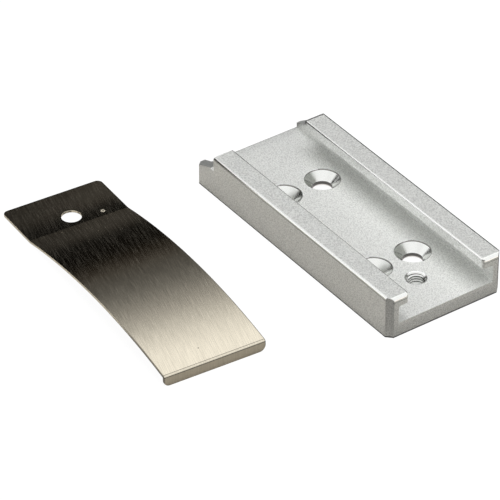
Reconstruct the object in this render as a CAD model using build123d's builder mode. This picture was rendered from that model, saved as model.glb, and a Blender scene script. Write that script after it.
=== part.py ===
from build123d import *
import os
from math import radians, sin, tan

# Camera top bracket: an aluminium shoe channel and the leaf spring that goes inside it, laid side by side.
# The channel runs along X and opens at both ends. The origin is on its underside, at the centre of
# the four countersunk holes. All sizes are in millimetres.

# Channel body
channel_width = 22.5
channel_height = 7.7
floor_thick = 2.7
wall_thick = 1.9
lip_thick = 1.8
lip_gap = 14.6
slot_corner_radius = 0.4

# Channel ends, measured from the centre of the hole pattern
front_length = 26.0
back_length = 27.0
corner_chamfer = 1.0
front_edge_radius = 0.65
side_edge_radius = 0.45
lip_edge_radius = 0.3
base_edge_radius = 0.2

# Back end, where the lips stop short and each wall ends in a lower sloping ear
ear_length = 5.2
ear_low_height = 3.6
ear_high_height = 5.15
ear_ridge_from_end = 4.3
ear_notch_height = 4.95

# M3 screws: four countersunk holes, and a threaded hole for the screw that holds the spring
screw_diameter = 3.0
thread_pitch = 0.5
screw_clearance = 0.4
hole_pitch_x = 24.5
hole_pitch_y = 7.8
countersink_diameter = 6.0
countersink_angle = 90
countersink_recess = 0.25
hole_base_break = 0.4
thread_hole_from_front = 7.8

# Leaf spring strip
spring_thick = 0.4
spring_side_clearance = 0.2
tab_length = 9.6
tab_lift_angle = 1.3
tab_corner_radius = 1.0
spring_hole_from_end = 7.0
crease_radius = 0.6
arch_rise_angle = 12.9
arch_fall_angle = 9.1
fold_radius = 0.3
hook_corner_radius = 1.1
hook_overhang = 0.95

# How the strip lies beside the channel: its tab end behind the channel's, its side apart, and its turn
lay_behind = 9.88
lay_apart = 12.94
lay_turn = -4.4

# Sizes that follow from the ones above
channel_length = front_length + back_length
slot_width = channel_width - 2 * wall_thick
slot_height = channel_height - floor_thick - lip_thick
screw_hole_diameter = screw_diameter + screw_clearance
thread_mouth_diameter = screw_diameter + thread_pitch
spring_width = slot_width - 2 * spring_side_clearance
spring_length = spring_hole_from_end + channel_length - thread_hole_from_front + hook_overhang
cut_margin = 1.0

# Channel: one C-shaped bar, cut back at the ears, chamfered and drilled
with BuildPart() as channel:
    with BuildSketch(Plane.YZ.offset(-back_length)) as section:
        Rectangle(channel_width, channel_height, align=(Align.CENTER, Align.MIN))
        with Locations((0, floor_thick)):
            Rectangle(slot_width, slot_height, align=(Align.CENTER, Align.MIN), mode=Mode.SUBTRACT)
        lip_underside = floor_thick + slot_height
        with Locations((0, lip_underside)):
            Rectangle(lip_gap, lip_thick, align=(Align.CENTER, Align.MIN), mode=Mode.SUBTRACT)
        mid_lip = (lip_gap + slot_width) / 4
        lip_roots = section.vertices().filter_by_position(Axis.Y, lip_underside, lip_underside)
        fillet([v for v in lip_roots if abs(v.X) > mid_lip], slot_corner_radius)
        lip_tops = section.vertices().group_by(Axis.Y)[-1]
        fillet([v for v in lip_tops if abs(v.X) < mid_lip], lip_edge_radius)
    extrude(amount=channel_length)

    # Vertical corners, then the outer edges of the top and the edges of the base
    upright = channel.edges().filter_by(Axis.Z)
    outer_corners = upright.group_by(Axis.Y)[0] + upright.group_by(Axis.Y)[-1]
    chamfer(outer_corners, corner_chamfer)
    front_face_edges = channel.faces().sort_by(Axis.X)[-1].edges()
    fillet(front_face_edges.group_by(Axis.Z)[-1], front_edge_radius)
    top_edges = channel.edges().filter_by(Axis.X).group_by(Axis.Z)[-1]
    fillet(top_edges.group_by(Axis.Y)[0] + top_edges.group_by(Axis.Y)[-1], side_edge_radius)
    fillet(channel.faces().sort_by(Axis.Z)[0].edges(), base_edge_radius)

    # Ears: everything above their sloping top goes at the back end
    with BuildSketch(Plane.XZ) as ear_cut:
        with BuildLine():
            back = -back_length
            Polyline(
                (back - cut_margin, channel_height + cut_margin),
                (back - cut_margin, ear_low_height),
                (back, ear_low_height),
                (back + ear_ridge_from_end, ear_high_height),
                (back + ear_length, ear_notch_height),
                (back + ear_length, channel_height + cut_margin),
                close=True,
            )
        make_face()
    extrude(amount=channel_width, both=True, mode=Mode.SUBTRACT)

    # Countersunk screw holes, each sunk a little below the floor
    with Locations((0, 0, floor_thick - countersink_recess)):
        with GridLocations(hole_pitch_x, hole_pitch_y, 2, 2):
            CounterSinkHole(
                radius=screw_hole_diameter / 2,
                counter_sink_radius=countersink_diameter / 2,
                counter_sink_angle=countersink_angle,
            )

    # Threaded hole with its chamfered mouth, bored at the thread's outer diameter
    with Locations((front_length - thread_hole_from_front, 0, floor_thick)):
        CounterSinkHole(
            radius=screw_diameter / 2,
            counter_sink_radius=thread_mouth_diameter / 2,
            counter_sink_angle=countersink_angle,
        )

    # All five holes are broken open a little on the underside
    base_circles = channel.faces().sort_by(Axis.Z)[0].edges().filter_by(GeomType.CIRCLE)
    chamfer(base_circles, hole_base_break)

channel.part.label = "channel"

# Leaf spring: one strip, bent at the crease, bowed along its arch and folded down at the end.
# It rests on the end of its tab and on the edge of its fold, and its arch spans what is between.
tab_end_middle = (-back_length - lay_behind, -(channel_width + spring_width) / 2 - lay_apart, 0)
table_plane = Plane(origin=tab_end_middle).rotated((0, 0, lay_turn))
tab_plane = table_plane.rotated((0, -tab_lift_angle, 0))
spring_plane = Plane(origin=tab_end_middle, x_dir=table_plane.x_dir, z_dir=-table_plane.y_dir)

with BuildPart() as leaf_spring:
    with BuildSketch(spring_plane) as strip_side:
        with BuildLine():
            crease_angle = arch_rise_angle - tab_lift_angle
            tab_run = tab_length - crease_radius * tan(radians(crease_angle / 2))
            tab = PolarLine((0, spring_thick / 2), tab_run, tab_lift_angle)
            crease = JernArc(tab @ 1, tab % 1, crease_radius, crease_angle)
            fold_reach = fold_radius * (1 - sin(radians(arch_fall_angle))) + spring_thick / 2
            arch_reach = spring_length - fold_reach - (crease @ 1).X
            arch_radius = arch_reach / (sin(radians(arch_rise_angle)) + sin(radians(arch_fall_angle)))
            arch = JernArc(crease @ 1, crease % 1, arch_radius, -(arch_rise_angle + arch_fall_angle))
            fold = JernArc(arch @ 1, arch % 1, fold_radius, arch_fall_angle - 90)
            Line(fold @ 1, ((fold @ 1).X, 0))
        trace(line_width=spring_thick)
    extrude(amount=spring_width / 2, both=True)

    # Rounded corners of the tab, and of the folded lip
    strip_axis = Axis(origin=tab_end_middle, direction=table_plane.x_dir)
    tab_end = leaf_spring.faces().sort_by(strip_axis)[0]
    fillet(tab_end.edges().sort_by(SortBy.LENGTH)[:2], tab_corner_radius)
    hook_edges = leaf_spring.edges().filter_by(strip_axis).sort_by(strip_axis)[-2:]
    fillet(hook_edges, hook_corner_radius)

    # Screw hole through the tab
    with Locations(tab_plane):
        with Locations((spring_hole_from_end, 0)):
            Hole(radius=screw_hole_diameter / 2)

leaf_spring.part.label = "leaf_spring"

os.makedirs("parts", exist_ok=True)
export_step(channel.part, "parts/channel.step")
export_step(leaf_spring.part, "parts/leaf_spring.step")
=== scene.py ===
import math

import bmesh
import bpy
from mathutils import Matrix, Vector


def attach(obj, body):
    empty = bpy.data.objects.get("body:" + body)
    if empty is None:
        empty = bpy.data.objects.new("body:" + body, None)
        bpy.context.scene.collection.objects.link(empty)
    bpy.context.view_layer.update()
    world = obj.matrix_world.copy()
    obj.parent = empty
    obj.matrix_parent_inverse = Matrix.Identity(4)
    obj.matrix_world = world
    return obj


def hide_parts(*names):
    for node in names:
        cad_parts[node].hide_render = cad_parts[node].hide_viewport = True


# Camera top bracket: a bead-blasted aluminium shoe channel and its brushed leaf spring, on a white table.
# Everything is in metres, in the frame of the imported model.

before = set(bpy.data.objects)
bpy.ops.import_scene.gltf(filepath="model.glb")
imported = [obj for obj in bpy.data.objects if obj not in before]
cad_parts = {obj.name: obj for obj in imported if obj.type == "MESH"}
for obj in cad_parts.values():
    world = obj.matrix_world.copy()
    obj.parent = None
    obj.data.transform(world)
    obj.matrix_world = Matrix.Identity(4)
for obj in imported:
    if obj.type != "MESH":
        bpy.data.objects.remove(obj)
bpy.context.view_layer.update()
scene = bpy.context.scene
mm = 0.001
print("frame loaded:", ", ".join(sorted(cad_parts)))


# Small helpers for node trees
def addNode(tree, kind, **values):
    node = tree.nodes.new(kind)
    for name, value in values.items():
        setattr(node, name, value)
    return node


def feed(tree, socket, value):
    # a number or colour is set on the socket, another node's output is linked to it
    if isinstance(value, bpy.types.NodeSocket):
        tree.links.new(value, socket)
    else:
        socket.default_value = value


def mathNode(tree, operation, *values):
    node = addNode(tree, "ShaderNodeMath", operation=operation)
    for socket, value in zip(node.inputs, values):
        feed(tree, socket, value)
    return node.outputs[0]


def vectorNode(tree, operation, first, second):
    node = addNode(tree, "ShaderNodeVectorMath", operation=operation)
    feed(tree, node.inputs[0], first)
    feed(tree, node.inputs[1], second)
    return node.outputs["Value" if operation == "DOT_PRODUCT" else "Vector"]


def toned(tree, colour, factor):
    node = addNode(tree, "ShaderNodeVectorMath", operation="SCALE")
    feed(tree, node.inputs[0], colour)
    feed(tree, node.inputs["Scale"], factor)
    return node.outputs[0]


def mapRange(tree, value, low, high, toLow=0.0, toHigh=1.0, smooth=True):
    node = addNode(tree, "ShaderNodeMapRange", interpolation_type="SMOOTHSTEP" if smooth else "LINEAR")
    for name, number in (("From Min", low), ("From Max", high), ("To Min", toLow), ("To Max", toHigh)):
        feed(tree, node.inputs[name], number)
    feed(tree, node.inputs["Value"], value)
    return node.outputs["Result"]


def ramp(tree, value, stops):
    node = addNode(tree, "ShaderNodeValToRGB")
    elements = node.color_ramp.elements
    while len(elements) < len(stops):
        elements.new(0.5)
    for element, (place, colour) in zip(elements, stops):
        element.position = place
        element.color = (*colour, 1.0)
    feed(tree, node.inputs["Fac"], value)
    return node.outputs["Color"]


def mixColour(tree, amount, first, second, blend="MIX"):
    node = addNode(tree, "ShaderNodeMix", data_type="RGBA", blend_type=blend, clamp_factor=True)
    feed(tree, node.inputs[0], amount)
    feed(tree, node.inputs[6], first)
    feed(tree, node.inputs[7], second)
    return node.outputs[2]


def mixShader(tree, amount, first, second):
    node = addNode(tree, "ShaderNodeMixShader")
    feed(tree, node.inputs[0], amount)
    feed(tree, node.inputs[1], first.outputs[0])
    feed(tree, node.inputs[2], second.outputs[0])
    return node


def split(tree, vector):
    node = addNode(tree, "ShaderNodeSeparateXYZ")
    feed(tree, node.inputs[0], vector)
    return node.outputs


def join(tree, **parts):
    node = addNode(tree, "ShaderNodeCombineXYZ")
    for axis, value in parts.items():
        feed(tree, node.inputs[axis], value)
    return node.outputs[0]


def planLength(tree, x, y):
    return mathNode(tree, "SQRT", mathNode(
        tree, "ADD", mathNode(tree, "MULTIPLY", x, x), mathNode(tree, "MULTIPLY", y, y)))


def coordinate(tree, kind):
    return addNode(tree, "ShaderNodeTexCoord").outputs[kind]


def noise(tree, vector, size, detail):
    node = addNode(tree, "ShaderNodeTexNoise", noise_dimensions="3D")
    feed(tree, node.inputs["Vector"], vector)
    node.inputs["Scale"].default_value = 1.0 / size
    node.inputs["Detail"].default_value = detail
    return node.outputs["Fac"]


def bumped(tree, height, strength, distance):
    node = addNode(tree, "ShaderNodeBump")
    node.inputs["Strength"].default_value = strength
    node.inputs["Distance"].default_value = distance
    feed(tree, node.inputs["Height"], height)
    return node.outputs["Normal"]


def emptyTree(owner):
    owner.use_nodes = True
    owner.node_tree.nodes.clear()
    return owner.node_tree


def newMaterial(name):
    material = bpy.data.materials.new(name)
    return material, emptyTree(material)


def finish(tree, shader):
    output = addNode(tree, "ShaderNodeOutputMaterial")
    feed(tree, output.inputs["Surface"], shader.outputs[0])


def grey(level, warm=0.0):
    return (level, level * (1 - warm), level * (1 - 2 * warm))


# Camera
cameraSet = {
    "aim": (-8.0065 * mm, -13.7067 * mm, -1.705 * mm),
    "bearing": -35.351,     # degrees from +X, in plan
    "height": 36.317,       # degrees above the table
    "distance": 632.365 * mm,
    "lens": 280.74,
    "sensor": 36.0,
    "nearest": 10 * mm,
    "furthest": 20000 * mm,
}


def makeCamera():
    data = bpy.data.cameras.new("photoCamera")
    data.sensor_width = cameraSet["sensor"]
    data.lens = cameraSet["lens"]
    data.clip_start = cameraSet["nearest"]
    data.clip_end = cameraSet["furthest"]
    camera = bpy.data.objects.new("photoCamera", data)
    scene.collection.objects.link(camera)
    bearing = math.radians(cameraSet["bearing"])
    height = math.radians(cameraSet["height"])
    back = Vector((math.cos(bearing) * math.cos(height), math.sin(bearing) * math.cos(height), math.sin(height)))
    camera.location = Vector(cameraSet["aim"]) + back * cameraSet["distance"]
    camera.rotation_euler = (-back).to_track_quat("-Z", "Y").to_euler()
    scene.camera = camera


# Room: lit walls and a wide light overhead, dark low down, and one side left unlit
roomSet = {
    "bright": 0.95,         # the ceiling, where every wall ends
    "boxLight": 3.6,        # the soft box overhead, on top of the ceiling, not seen in the gloss
    "boxTilt": 8.0,         # degrees off the zenith, towards boxBearing
    "boxBearing": 100.0,
    "boxInner": 0.95,       # cosines of the box's full and faded rims
    "boxOuter": 0.86,
    "smallest": 0.0001,     # keeps the bearing defined straight overhead
}

# The walls in the order they cover one another. A wall has its bearing in degrees from +X, the cosines from
# it between which it fades in, and its levels by the sine of the height. The first one goes all round.
wallSet = [
    {"levels": [(0.00, grey(0.90)), (0.30, grey(1.00))]},
    {
        "bearing": -138.0,
        "fade": (-0.1, 0.85),
        "levels": [(0.00, grey(0.10)), (0.04, grey(0.15)), (0.14, grey(1.00)), (0.34, grey(1.12))],
    },
    {
        "bearing": -48.0,
        "fade": (0.30, 0.90),
        "levels": [(0.00, grey(0.05)), (0.42, grey(0.10)), (0.64, grey(0.80)), (0.78, grey(1.05))],
    },
    {
        "bearing": 144.6,
        "fade": (0.35, 0.75),
        "levels": [
            (0.00, grey(0.14)), (0.12, grey(0.050)), (0.36, grey(0.014, 0.32)), (0.48, grey(0.045, 0.10)),
            (0.56, grey(0.095, 0.01)), (0.60, grey(0.165)), (0.66, grey(0.360, 0.01)), (0.71, grey(0.680)),
            (0.77, grey(1.15)),
        ],
    },
]


def makeWorld():
    world = bpy.data.worlds.new("studio")
    scene.world = world
    tree = emptyTree(world)
    direction = coordinate(tree, "Generated")
    parts = split(tree, direction)
    up = parts["Z"]
    level = mathNode(tree, "SQRT", mathNode(tree, "MAXIMUM", mathNode(
        tree, "SUBTRACT", 1.0, mathNode(tree, "MULTIPLY", up, up)), roomSet["smallest"]))

    def facing(bearing, wide, narrow):
        angle = math.radians(bearing)
        towards = mathNode(tree, "ADD",
                           mathNode(tree, "MULTIPLY", parts["X"], math.cos(angle)),
                           mathNode(tree, "MULTIPLY", parts["Y"], math.sin(angle)))
        return mapRange(tree, mathNode(tree, "DIVIDE", towards, level), wide, narrow)

    ceiling = (1.0, grey(roomSet["bright"]))
    room = ramp(tree, up, wallSet[0]["levels"] + [ceiling])
    for wall in wallSet[1:]:
        shown = ramp(tree, up, wall["levels"] + [ceiling])
        room = mixColour(tree, facing(wall["bearing"], *wall["fade"]), room, shown)

    tilt = math.radians(roomSet["boxTilt"])
    bearing = math.radians(roomSet["boxBearing"])
    middle = (math.sin(tilt) * math.cos(bearing), math.sin(tilt) * math.sin(bearing), math.cos(tilt))
    nearness = vectorNode(tree, "DOT_PRODUCT", direction, middle)
    box = mapRange(tree, nearness, roomSet["boxOuter"], roomSet["boxInner"])
    rays = addNode(tree, "ShaderNodeLightPath").outputs
    box = mathNode(tree, "MULTIPLY", box, mathNode(tree, "SUBTRACT", 1.0, rays["Is Glossy Ray"]))
    room = mixColour(tree, box, room, (*grey(roomSet["bright"] + roomSet["boxLight"]), 1.0))
    seen = mathNode(tree, "MAXIMUM", rays["Is Camera Ray"], rays["Is Transmission Ray"])
    background = addNode(tree, "ShaderNodeBackground")
    feed(tree, background.inputs["Color"], mixColour(tree, seen, room, (1.0, 1.0, 1.0, 1.0)))
    output = addNode(tree, "ShaderNodeOutputWorld")
    feed(tree, output.inputs["Surface"], background.outputs[0])


# Table: white with a soft shadow to camera and transmitted rays, and to every other ray greys of painted shade, darker
# near the channel and darkest off its near corner, with a painted glow under the holes
tableSet = {
    "size": 1.6,
    "tint": (1.0, 0.955, 0.88),
    "front": 0.245,                     # before the front end
    "side": 0.415,                      # beside the long side
    "corner": 0.13,                     # off the near corner
    "far": 0.80,                        # far before the front end
    "cornerFade": (22 * mm, 29 * mm),   # along X, from the side's grey to the corner's
    "sideFade": (-7 * mm, -13 * mm),    # along Y, from the front's greys to the side's
    "farFade": (37 * mm, 48 * mm),      # along X, from the front's grey to the far one
    # a painted glow, no lamp: the table glows under the holes so that the bores mirror light
    "underHoles": 0.90,                 # the glow that the holes show under them
    "underX": (24 * mm, 22 * mm),       # how far from the origin that glow fades in
    "underY": (9 * mm, 7 * mm),
    "shadow": 0.05,                     # how dark the soft shadow may get on the white
    "shadowGain": 1.5,                  # how much stronger the lit share is than the glow it takes away
}


def makeTable():
    mesh = bpy.data.meshes.new("table")
    half = tableSet["size"] / 2
    corners = [(-half, -half, 0), (half, -half, 0), (half, half, 0), (-half, half, 0)]
    mesh.from_pydata(corners, [], [(0, 1, 2, 3)])
    table = bpy.data.objects.new("table", mesh)
    scene.collection.objects.link(table)
    material, tree = newMaterial("tableWhite")
    parts = split(tree, coordinate(tree, "Object"))

    # painted shade in the greys the metal mirrors: darker beside and before the channel, darkest off its near corner,
    # lighter far before its front end
    beside = mapRange(tree, parts["X"], *tableSet["cornerFade"], tableSet["side"], tableSet["corner"])
    sideways = mapRange(tree, parts["Y"], *tableSet["sideFade"])
    before = mapRange(tree, parts["X"], *tableSet["farFade"], tableSet["front"], tableSet["far"])
    level = mathNode(tree, "ADD",
                     mathNode(tree, "MULTIPLY", beside, sideways),
                     mathNode(tree, "MULTIPLY", before, mathNode(tree, "SUBTRACT", 1.0, sideways)))
    paintedShadeGreys = addNode(tree, "ShaderNodeBsdfDiffuse")
    feed(tree, paintedShadeGreys.inputs["Color"], toned(tree, tableSet["tint"], level))
    # painted glow under the holes
    paintedHoleGlow = addNode(tree, "ShaderNodeEmission")
    paintedHoleGlow.inputs["Strength"].default_value = tableSet["underHoles"]
    under = mathNode(tree, "MULTIPLY",
                     mapRange(tree, mathNode(tree, "ABSOLUTE", parts["X"]), *tableSet["underX"]),
                     mapRange(tree, mathNode(tree, "ABSOLUTE", parts["Y"]), *tableSet["underY"]))
    unseen = mixShader(tree, under, paintedShadeGreys, paintedHoleGlow)

    shaded = addNode(tree, "ShaderNodeBsdfDiffuse")
    shaded.inputs["Color"].default_value = (*grey(tableSet["shadow"] * tableSet["shadowGain"]), 1.0)
    glow = addNode(tree, "ShaderNodeEmission")
    glow.inputs["Color"].default_value = (1.0, 1.0, 1.0, 1.0)
    glow.inputs["Strength"].default_value = 1.0 - tableSet["shadow"]
    white = addNode(tree, "ShaderNodeAddShader")
    feed(tree, white.inputs[0], shaded.outputs[0])
    feed(tree, white.inputs[1], glow.outputs[0])

    rays = addNode(tree, "ShaderNodeLightPath").outputs
    seen = mathNode(tree, "MAXIMUM", rays["Is Camera Ray"], rays["Is Transmission Ray"])
    finish(tree, mixShader(tree, seen, unseen, white))
    mesh.materials.append(material)


# Black flags that only the gloss sees: one at the end of the strip's tab, whose glow by height in mm
# is what the strip mirrors, and two low ones behind and beside the channel that darken its far edges
flagSet = {
    "stripFlag": {
        "from": (-42.7 * mm, -43.9 * mm),
        "to": (-40.0 * mm, -8.0 * mm),
        "tall": 25.0 * mm,
        "glow": [
            (3.0, grey(0.030, 0.10)), (5.0, grey(0.034, 0.08)), (6.4, grey(0.038, 0.06)), (8.0, grey(0.036, 0.08)),
            (9.2, grey(0.012, 0.08)), (10.6, grey(0.003, 0.04)), (12.0, grey(0.003, 0.20)), (16.0, grey(0.002, 0.28)),
            (18.5, grey(0.010, 0.24)), (20.8, grey(0.022, 0.17)), (25.0, grey(0.062, 0.08)),
        ],
        "across": ((-40.0 * mm, 0.55), (-22.0 * mm, 1.20)),     # how its glow grows from one end to the other
    },
    "backFlag": {
        "from": (-30.0 * mm, -14.0 * mm),
        "to": (-30.0 * mm, 13.5 * mm),
        "tall": 8.0 * mm,
        "glow": [(0.0, grey(0.02)), (8.0, grey(0.02))],
    },
    "sideFlag": {
        "from": (-34.0 * mm, 13.5 * mm),
        "to": (27.0 * mm, 13.5 * mm),
        "tall": 8.5 * mm,
        "glow": [(0.0, grey(0.02)), (8.5, grey(0.02))],
    },
}


def makeFlag(name):
    values = flagSet[name]
    start, end, tall = values["from"], values["to"], values["tall"]
    mesh = bpy.data.meshes.new(name)
    mesh.from_pydata([(*start, 0), (*end, 0), (*end, tall), (*start, tall)], [], [(0, 1, 2, 3)])
    flag = bpy.data.objects.new(name, mesh)
    scene.collection.objects.link(flag)
    material, tree = newMaterial(name)
    parts = split(tree, coordinate(tree, "Object"))
    glow = addNode(tree, "ShaderNodeEmission")
    feed(tree, glow.inputs["Color"], ramp(tree, mathNode(tree, "DIVIDE", parts["Z"], tall), [
        (height * mm / tall, colour) for height, colour in values["glow"]]))
    if "across" in values:
        (low, weak), (high, strong) = values["across"]
        feed(tree, glow.inputs["Strength"], mapRange(tree, parts["Y"], low, high, weak, strong, smooth=False))
    finish(tree, glow)
    mesh.materials.append(material)
    flag.visible_camera = False
    flag.visible_diffuse = False
    flag.visible_transmission = False
    flag.visible_shadow = False


makeCamera()
makeWorld()
makeTable()
for flagName in flagSet:
    makeFlag(flagName)
print("studio set")


# What both metals share
metalSet = {
    "markRange": (0.3, 0.7),      # of the noise, from the smoothest to the roughest marks
    "markSpread": 0.15,           # how much the roughness changes with them
    "mergeDistance": 0.0001 * mm,
    "flatAngle": 0.6,             # degrees between faces that are taken as one
    "smoothAngle": 30.0,          # degrees, below which an edge is shaded smooth
    "breakSteps": 3,
}


def metal(tree, colour, roughness, normal=None, metallic=1.0):
    shader = addNode(tree, "ShaderNodeBsdfPrincipled")
    feed(tree, shader.inputs["Metallic"], metallic)
    feed(tree, shader.inputs["Base Color"], colour)
    feed(tree, shader.inputs["Roughness"], roughness)
    if normal is not None:
        feed(tree, shader.inputs["Normal"], normal)
    return shader


def roughened(tree, marks, roughness):
    spread = roughness * metalSet["markSpread"]
    return mapRange(tree, marks, *metalSet["markRange"], roughness - spread, roughness + spread)


def smoothCopy(nodeName, pieceName, materials, choose, weigh, edgeWidth):
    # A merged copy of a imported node: curved faces shaded smooth, outer edges broken by their weight,
    # and its faces given their finishes. The last material is the one on the broken edges.
    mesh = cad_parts[nodeName].data.copy()
    mesh.name = pieceName
    if mesh.has_custom_normals:
        mesh.attributes.remove(mesh.attributes["custom_normal"])
    mesh.materials.clear()
    for material in materials:
        mesh.materials.append(material)
    work = bmesh.new()
    work.from_mesh(mesh)
    bmesh.ops.remove_doubles(work, verts=work.verts, dist=metalSet["mergeDistance"])
    bmesh.ops.dissolve_limit(work, angle_limit=math.radians(metalSet["flatAngle"]), verts=work.verts, edges=work.edges)
    work.normal_update()
    weights = work.edges.layers.float.new("bevel_weight_edge")
    for face in work.faces:
        face.smooth = True
        face.material_index = choose(face.calc_center_median(), face.normal)
    for edge in work.edges:
        if len(edge.link_faces) == 2:
            angle = math.degrees(edge.calc_face_angle())
            edge.smooth = angle < metalSet["smoothAngle"]
            if angle > metalSet["smoothAngle"] and edge.is_convex:
                edge[weights] = weigh(edge)
    work.to_mesh(mesh)
    work.free()
    piece = bpy.data.objects.new(pieceName, mesh)
    scene.collection.objects.link(piece)
    rounding = piece.modifiers.new("brokenEdges", "BEVEL")
    rounding.limit_method = "WEIGHT"
    rounding.offset_type = "OFFSET"
    rounding.width = edgeWidth
    rounding.segments = metalSet["breakSteps"]
    rounding.material = len(materials) - 1
    rounding.harden_normals = True
    rounding.use_clamp_overlap = False
    flatness = piece.modifiers.new("flatFaces", "WEIGHTED_NORMAL")
    flatness.keep_sharp = True
    return piece


# Channel: blasted skin, turned holes, broken edges a little lighter to lift their highlights, and thin dark lines of
# painted shade along some edges
channelSet = {
    "colour": (0.865, 0.875, 0.852),
    "metal": 0.64,              # the rest is the soft scatter of the blasted, anodised skin
    "roughness": 0.35,
    "grainSize": 0.19 * mm,
    "grainDetail": 2.0,
    "grainRange": (0.36, 0.60),
    "grainDepth": 1.0,
    "grainRise": 0.36,          # of the grain's size
    "grainTone": 0.32,          # how much darker the deep grains are
    "earMetal": 0.80,
    # boxes in mm, low and high corner, inside which the skin has another tone: painted light makes the slot lighter
    # than the outside, painted shade runs as a dark strip along the base and as thin dark lines along edges, and the
    # two ears are toned apart
    "tones": [
        # painted light: the slot and the lips' inner faces lighter than the outside
        ((-30, -9.4, 2.0), (30, 9.4, 6.0), 1.11),
        ((-30, -7.4, 6.0), (30, 7.4, 7.66), 1.22),
        # painted shade: dark along the base, where the channel meets the table
        ((-30, -12, -1), (30, 12, 0.34), 0.15),
        # painted shade: dark lines under the front rounding, under the near side's top edge, at the right lip's back
        # end, along the floor's back edge, along the far side's top edge and at its front corner
        ((25.8, -12, 6.74), (27, 12, 6.98), 0.72),
        ((-30, -12, 7.12), (27, -11.1, 7.36), 0.62),
        ((-22, 6, 7.0), (-21.5, 12, 8), 0.26),
        ((-28, -9.4, 2.4), (-26.84, 9.4, 2.75), 0.70),
        ((-21.8, 10.8, 7.0), (27, 12, 8), 0.60),
        ((25.0, 10.3, 0.3), (26.1, 11.3, 7.2), 0.60),
        ((-26.9, -11.1, 3.4), (-21.8, -9.4, 5.3), 0.93),
        ((-26.9, 9.4, 3.4), (-21.8, 11.1, 5.3), 1.08),
    ],
    # the same for the broken rims of the holes: painted shade on their far halves
    "rimTones": [
        ((-30, 5.0, 2.4), (30, 8, 3.0), 0.50),
        ((-30, -2.8, 2.4), (30, -0.3, 3.0), 0.50),
    ],
    "toneFade": 0.03 * mm,      # on each side of a box's faces
    "turnedRoughness": 0.22,
    "turnedMarks": 0.5 * mm,
    "turnedDetail": 2.0,
    "boreTop": 3.0,             # mm, the height at which boreTones' scale ends
    # painted light and shade down the bores: light at the foot for the light through the hole, dark up the wall
    "boreTones": [(0.45, 0.85), (0.60, 0.10), (1.20, 0.14), (2.70, 0.26)],     # height in mm and tone
    "boreWarmth": 0.05,
    "edgeRoughness": 0.2,
    # the broken edges' colour a little lighter than the skin's: a painted lift of their highlights
    "edgeTone": 1.06,
    "edgeWidth": 0.08 * mm,     # of the holes' broken rims
    "holePitch": (24.5 * mm, 7.8 * mm),
    "holeReach": 3.1 * mm,      # round a hole's middle, just past its rim
    "threadReach": 1.95 * mm,
    "rimsAbove": 2.6 * mm,      # the holes' rims on the floor lie above this height
    "earsBehind": -21.8 * mm,   # the ears' sloping tops lie behind this place and above this height
    "earsAbove": 3.4 * mm,
    "edgesAbove": 6.9 * mm,     # the rounded top edges
}

# Thread: the ridge that the bored hole in the solid leaves off
threadSet = {
    "middle": (18.2 * mm, 0.0),
    "ridge": {
        "Outer Radius": 1.5 * mm,
        "Inner Radius": 1.25 * mm,
        "Pitch": 0.5 * mm,
        "Crest Width": 0.16 * mm,
        "Root Width": 0.41 * mm,
        "Top": 2.7 * mm,
        "Mouth Radius": 1.75 * mm,
        "Base Break": 0.4 * mm,
    },
    "startShare": 0.7,          # of the base break, where the ridge begins
    "topShort": 0.2 * mm,       # how far under the floor it ends
    "turnSteps": 40,
    "leastRadius": 0.01 * mm,   # keeps the division by the radius defined
    "mergeDistance": 0.00001 * mm,
    "smoothAngle": 25.0,
    # painted light and shade by how far a face looks up or down: the slopes painted light, the crests and grooves
    # painted dark
    "tones": [
        (0.0, (0.10, 0.10, 0.095)), (0.5, (0.14, 0.14, 0.13)),
        (0.8, (0.80, 0.81, 0.79)), (1.0, (0.86, 0.87, 0.85)),
    ],
}


def regionTone(tree, place, colour, boxes):
    # the colour, scaled inside each box
    fade = channelSet["toneFade"]
    for low, high, tone in boxes:
        below = vectorNode(tree, "SUBTRACT", [value * mm for value in low], place)
        above = vectorNode(tree, "SUBTRACT", place, [value * mm for value in high])
        outside = split(tree, vectorNode(tree, "MAXIMUM", below, above))
        furthest = mathNode(tree, "MAXIMUM", outside["X"], mathNode(tree, "MAXIMUM", outside["Y"], outside["Z"]))
        colour = toned(tree, colour, mapRange(tree, furthest, -fade, fade, tone, 1.0))
    return colour


def blastedAluminium(name, metallic):
    material, tree = newMaterial(name)
    place = coordinate(tree, "Object")
    size = channelSet["grainSize"]
    grain = noise(tree, place, size, channelSet["grainDetail"])
    normal = bumped(tree, grain, channelSet["grainDepth"], size * channelSet["grainRise"])
    colour = channelSet["colour"]
    deep = [value * (1 - channelSet["grainTone"]) for value in colour]
    height = mapRange(tree, grain, *channelSet["grainRange"], smooth=False)
    # the grained colour, with the boxes' painted light and shade
    tone = regionTone(tree, place, mixColour(tree, height, (*deep, 1.0), (*colour, 1.0)), channelSet["tones"])
    finish(tree, metal(tree, tone, channelSet["roughness"], normal, metallic))
    return material


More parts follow.
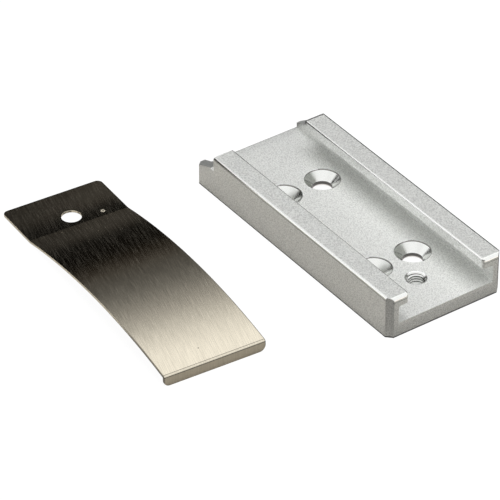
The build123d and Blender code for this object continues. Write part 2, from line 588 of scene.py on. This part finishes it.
def plainAluminium(name, roughness, shade="plain"):
    material, tree = newMaterial(name)
    place = coordinate(tree, "Object")
    marks = noise(tree, place, channelSet["turnedMarks"], channelSet["turnedDetail"])
    colour = channelSet["colour"]
    tone = (*colour, 1.0)
    # the broken edges: a lighter colour as painted highlight, with the boxes' painted light and shade
    if shade == "edge":
        tone = regionTone(tree, place, [value * channelSet["edgeTone"] for value in colour],
                          channelSet["tones"] + channelSet["rimTones"])
    # painted light and shade on the thread, by how far a face looks up or down
    if shade == "thread":
        facing = split(tree, coordinate(tree, "Normal"))
        tone = ramp(tree, mathNode(tree, "ABSOLUTE", facing["Z"]), threadSet["tones"])
    # painted light and shade in the bores, by height
    if shade == "bore":
        top = channelSet["boreTop"]
        stops = [(height / top, grey(level, channelSet["boreWarmth"])) for height, level in channelSet["boreTones"]]
        tone = ramp(tree, mathNode(tree, "DIVIDE", split(tree, place)["Z"], top * mm), stops)
    finish(tree, metal(tree, tone, roughened(tree, marks, roughness)))
    return material


holeX, holeY = (pitch / 2 for pitch in channelSet["holePitch"])
holes = [(x * holeX, y * holeY, channelSet["holeReach"]) for x in (-1, 1) for y in (-1, 1)]
holes.append((*threadSet["middle"], channelSet["threadReach"]))


def atHole(place):
    return any(math.hypot(place.x - x, place.y - y) < reach for x, y, reach in holes)


def channelFinish(middle, normal):
    # 0 blasted, 1 the holes' cones, 2 their upright walls, 3 the ears' sloping tops, 4 the rounded top edges
    flat, nearlyFlat, sloping, upright, quiteUpright = 0.995, 0.99, 0.5, 0.1, 0.02
    level = abs(normal.z)
    if level < nearlyFlat and atHole(middle):
        return 2 if level < upright else 1
    if middle.x < channelSet["earsBehind"] and middle.z > channelSet["earsAbove"] and level > sloping:
        return 3
    if quiteUpright < level < flat and middle.z > channelSet["edgesAbove"]:
        return 4
    return 0


def channelBreak(edge):
    # only the holes' rims on the floor
    middle = sum((vert.co for vert in edge.verts), Vector()) / 2
    return 1.0 if atHole(middle) and middle.z > channelSet["rimsAbove"] else 0.0


aluminium = [
    blastedAluminium("blastedAluminium", channelSet["metal"]),
    plainAluminium("turnedAluminium", channelSet["turnedRoughness"]),
    plainAluminium("boreWall", channelSet["turnedRoughness"], "bore"),
    blastedAluminium("earAluminium", channelSet["earMetal"]),
    plainAluminium("aluminiumEdge", channelSet["edgeRoughness"], "edge"),
]
channelPiece = smoothCopy("channel", "channel_body", aluminium, channelFinish, channelBreak, channelSet["edgeWidth"])
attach(channelPiece, "root")
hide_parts("channel")
print("channel dressed")


def threadTree():
    # One helix, its ridge standing inwards, with its crest cut back at both mouths
    tree = bpy.data.node_groups.new("threadRidge", "GeometryNodeTree")
    tree.is_modifier = True
    for name in threadSet["ridge"]:
        tree.interface.new_socket(name=name, in_out="INPUT", socket_type="NodeSocketFloat")
    tree.interface.new_socket(name="Geometry", in_out="OUTPUT", socket_type="NodeSocketGeometry")
    given = addNode(tree, "NodeGroupInput").outputs

    start = mathNode(tree, "MULTIPLY", given["Base Break"], threadSet["startShare"])
    length = mathNode(tree, "SUBTRACT", mathNode(tree, "SUBTRACT", given["Top"], start), threadSet["topShort"])
    helix = addNode(tree, "GeometryNodeCurveSpiral")
    helix.inputs["Resolution"].default_value = threadSet["turnSteps"]
    feed(tree, helix.inputs["Rotations"], mathNode(tree, "DIVIDE", length, given["Pitch"]))
    feed(tree, helix.inputs["Start Radius"], given["Outer Radius"])
    feed(tree, helix.inputs["End Radius"], given["Outer Radius"])
    feed(tree, helix.inputs["Height"], length)
    upright = addNode(tree, "GeometryNodeSetCurveNormal", mode="Z_UP")
    feed(tree, upright.inputs["Curve"], helix.outputs["Curve"])

    ridge = addNode(tree, "GeometryNodeCurvePrimitiveQuadrilateral", mode="TRAPEZOID")
    depth = mathNode(tree, "SUBTRACT", given["Outer Radius"], given["Inner Radius"])
    feed(tree, ridge.inputs["Height"], depth)
    feed(tree, ridge.inputs["Bottom Width"], given["Root Width"])
    feed(tree, ridge.inputs["Top Width"], given["Crest Width"])
    ridge.inputs["Offset"].default_value = 0.0
    sideways = addNode(tree, "GeometryNodeTransform")
    sideways.inputs["Rotation"].default_value = (0.0, 0.0, math.radians(-90))
    feed(tree, sideways.inputs["Geometry"], ridge.outputs["Curve"])
    feed(tree, sideways.inputs["Translation"], join(tree, X=mathNode(tree, "MULTIPLY", depth, 0.5)))
    sweep = addNode(tree, "GeometryNodeCurveToMesh")
    sweep.inputs["Fill Caps"].default_value = True
    feed(tree, sweep.inputs["Curve"], upright.outputs["Curve"])
    feed(tree, sweep.inputs["Profile Curve"], sideways.outputs["Geometry"])
    lifted = addNode(tree, "GeometryNodeTransform")
    feed(tree, lifted.inputs["Geometry"], sweep.outputs["Mesh"])
    feed(tree, lifted.inputs["Translation"], join(tree, Z=start))

    # the two mouths: no point of the ridge stays inside their cones
    spot = split(tree, addNode(tree, "GeometryNodeInputPosition").outputs[0])
    radius = planLength(tree, spot["X"], spot["Y"])
    mouth = mathNode(tree, "ADD", mathNode(tree, "SUBTRACT", spot["Z"], given["Top"]), given["Mouth Radius"])
    foot = mathNode(tree, "SUBTRACT", mathNode(tree, "ADD", given["Base Break"], given["Outer Radius"]), spot["Z"])
    wanted = mathNode(tree, "MAXIMUM", radius, mathNode(tree, "MAXIMUM", mouth, foot))
    grow = mathNode(tree, "DIVIDE", wanted, mathNode(tree, "MAXIMUM", radius, threadSet["leastRadius"]))
    moved = join(tree, X=mathNode(tree, "MULTIPLY", spot["X"], grow), Y=mathNode(tree, "MULTIPLY", spot["Y"], grow),
                 Z=spot["Z"])
    cut = addNode(tree, "GeometryNodeSetPosition")
    feed(tree, cut.inputs["Geometry"], lifted.outputs["Geometry"])
    feed(tree, cut.inputs["Position"], moved)
    real = addNode(tree, "GeometryNodeRealizeInstances")
    feed(tree, real.inputs[0], cut.outputs["Geometry"])
    dressed = addNode(tree, "GeometryNodeSetMaterial")
    threadAluminium = plainAluminium("threadAluminium", channelSet["turnedRoughness"], "thread")
    dressed.inputs["Material"].default_value = threadAluminium
    feed(tree, dressed.inputs["Geometry"], real.outputs[0])
    feed(tree, addNode(tree, "NodeGroupOutput").inputs["Geometry"], dressed.outputs["Geometry"])
    return tree


def makeThread():
    tree = threadTree()
    host = bpy.data.objects.new("threadHost", bpy.data.meshes.new("threadHost"))
    scene.collection.objects.link(host)
    maker = host.modifiers.new("ridge", "NODES")
    maker.node_group = tree
    for item in tree.interface.items_tree:
        if item.in_out == "INPUT":
            maker[item.identifier] = threadSet["ridge"][item.name]
    mesh = bpy.data.meshes.new_from_object(host.evaluated_get(bpy.context.evaluated_depsgraph_get()))
    bpy.data.objects.remove(host)
    mesh.name = "thread_ridge"
    work = bmesh.new()
    work.from_mesh(mesh)
    bmesh.ops.remove_doubles(work, verts=work.verts, dist=threadSet["mergeDistance"])
    bmesh.ops.translate(work, verts=work.verts, vec=(*threadSet["middle"], 0.0))
    bmesh.ops.recalc_face_normals(work, faces=work.faces)
    for face in work.faces:
        face.smooth = True
    sharp = math.radians(threadSet["smoothAngle"])
    for edge in work.edges:
        edge.smooth = len(edge.link_faces) == 2 and edge.calc_face_angle() < sharp
    work.to_mesh(mesh)
    work.free()
    piece = bpy.data.objects.new("thread_ridge", mesh)
    scene.collection.objects.link(piece)
    return piece


threadPiece = makeThread()
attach(threadPiece, "root")
radii = [math.hypot(vert.co.x - threadSet["middle"][0], vert.co.y) / mm for vert in threadPiece.data.vertices]
print("thread cut:", len(threadPiece.data.polygons), "faces, radius",
      round(min(radii), 3), "to", round(max(radii), 3), "mm")


# Spring: bright steel, its brush lines turned a little off its length, with dark lines of painted shade at its fold
# and rims
springSet = {
    "colour": (0.87, 0.80, 0.655),
    "roughness": 0.15,
    "across": 0.6,                      # how much wider the gloss spreads across the brush lines
    "brushDepth": 0.08,
    "brushWidth": 0.08 * mm,
    "brushLength": 3.4 * mm,
    "brushTurn": -15.4,                 # degrees from +X, a little off the strip's own direction
    "brushDetail": 3.0,
    "streaks": 0.20,                    # how much darker the deepest brush lines are
    "streakRange": (0.36, 0.64),
    "scatter": 0.024,                   # how much of the light the highest lines scatter
    "scatterRange": (0.48, 0.66),
    "direction": -4.4,                  # degrees from +X, the strip's own
    # painted shade: tones by how far the fold's outer face leans along the strip
    "foldTones": [
        (0.165, 1.0), (0.20, 0.40), (0.38, 0.40), (0.46, 1.0),
        (0.84, 1.0), (0.90, 0.35), (0.98, 0.35), (1.0, 0.62),
    ],
    "tabEnd": (-36.88 * mm, -33.34 * mm),
    # painted shade along both rims: none at the tab, dark towards the fold
    "rim": (8.96 * mm, 9.06 * mm),      # from the middle line, where the rims begin
    "rimTones": (1.0, 0.34),            # at the tab and at the fold
    "rimTurn": (-4 * mm, 8 * mm),       # along X, from the one tone to the other
    # small marks in the metal: a scattering ring beside the hole and a dark dot near the bright end
    "fleck": (-28.21 * mm, -28.84 * mm),
    "fleckInner": (0.12 * mm, 0.20 * mm),
    "fleckOuter": (0.40 * mm, 0.32 * mm),
    "fleckScatter": 0.5,
    "dot": (12.88 * mm, -38.37 * mm),
    "dotReach": (0.08 * mm, 0.16 * mm),
    "dotTone": 0.3,
    "edgeWidth": 0.05 * mm,
}


def fromMiddleLine(tree, parts, along):
    # how far a point lies from the strip's middle line, in plan
    tabX, tabY = springSet["tabEnd"]
    return mathNode(tree, "ABSOLUTE", mathNode(
        tree, "SUBTRACT",
        mathNode(tree, "MULTIPLY", mathNode(tree, "SUBTRACT", parts["Y"], tabY), math.cos(along)),
        mathNode(tree, "MULTIPLY", mathNode(tree, "SUBTRACT", parts["X"], tabX), math.sin(along))))


def apart(tree, parts, spot):
    # how far a point lies from a mark, in plan
    return planLength(tree, *(mathNode(tree, "SUBTRACT", parts[axis], value) for axis, value in zip("XY", spot)))


def springTone(tree, parts, lines):
    colour = springSet["colour"]
    deep = (value * (1 - springSet["streaks"]) for value in colour)
    height = mapRange(tree, lines, *springSet["streakRange"], smooth=False)
    tone = mixColour(tree, height, (*deep, 1.0), (*colour, 1.0))

    along = math.radians(springSet["direction"])
    forward = (math.cos(along), math.sin(along), 0.0)
    # painted shade at the fold, by how its face leans
    lean = vectorNode(tree, "DOT_PRODUCT", coordinate(tree, "Normal"), forward)
    fold = ramp(tree, lean, [(place, grey(level)) for place, level in springSet["foldTones"]])
    tone = mixColour(tree, 1.0, tone, fold, "MULTIPLY")

    # painted shade along the rims
    rimTone = mapRange(tree, parts["X"], *springSet["rimTurn"], *springSet["rimTones"])
    tone = toned(tree, tone, mapRange(tree, fromMiddleLine(tree, parts, along), *springSet["rim"], 1.0, rimTone))
    dot = apart(tree, parts, springSet["dot"])
    return toned(tree, tone, mapRange(tree, dot, *springSet["dotReach"], springSet["dotTone"], 1.0))


def springMetallic(tree, parts, lines):
    # less than all of it where the highest lines and the fleck scatter
    reach = apart(tree, parts, springSet["fleck"])
    fleck = mathNode(tree, "MULTIPLY", mapRange(tree, reach, *springSet["fleckInner"]),
                     mapRange(tree, reach, *springSet["fleckOuter"]))
    scatter = mathNode(tree, "MULTIPLY", mapRange(tree, lines, *springSet["scatterRange"]), springSet["scatter"])
    return mathNode(tree, "SUBTRACT", 1.0, mathNode(
        tree, "MAXIMUM", scatter, mathNode(tree, "MULTIPLY", fleck, springSet["fleckScatter"])))


def brushedSteel():
    material, tree = newMaterial("brushedSteel")
    place = coordinate(tree, "Object")
    turn = math.radians(springSet["brushTurn"])
    long, width = springSet["brushLength"], springSet["brushWidth"]
    mapping = addNode(tree, "ShaderNodeMapping", vector_type="TEXTURE")
    mapping.inputs["Rotation"].default_value = (0.0, 0.0, turn)
    mapping.inputs["Scale"].default_value = (long, width, long)
    feed(tree, mapping.inputs["Vector"], place)
    lines = noise(tree, mapping.outputs["Vector"], 1.0, springSet["brushDetail"])
    parts = split(tree, place)
    shader = metal(tree, springTone(tree, parts, lines), roughened(tree, lines, springSet["roughness"]),
                   bumped(tree, lines, springSet["brushDepth"], width), springMetallic(tree, parts, lines))
    shader.inputs["Anisotropic"].default_value = springSet["across"]
    feed(tree, shader.inputs["Tangent"], join(tree, X=-math.sin(turn), Y=math.cos(turn)))
    finish(tree, shader)
    return material


springPiece = smoothCopy("leaf_spring", "spring_strip", [brushedSteel()], lambda middle, normal: 0,
                         lambda edge: 1.0, springSet["edgeWidth"])
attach(springPiece, "root")
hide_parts("leaf_spring")
print("spring dressed")

scene.view_settings.view_transform = "Standard"
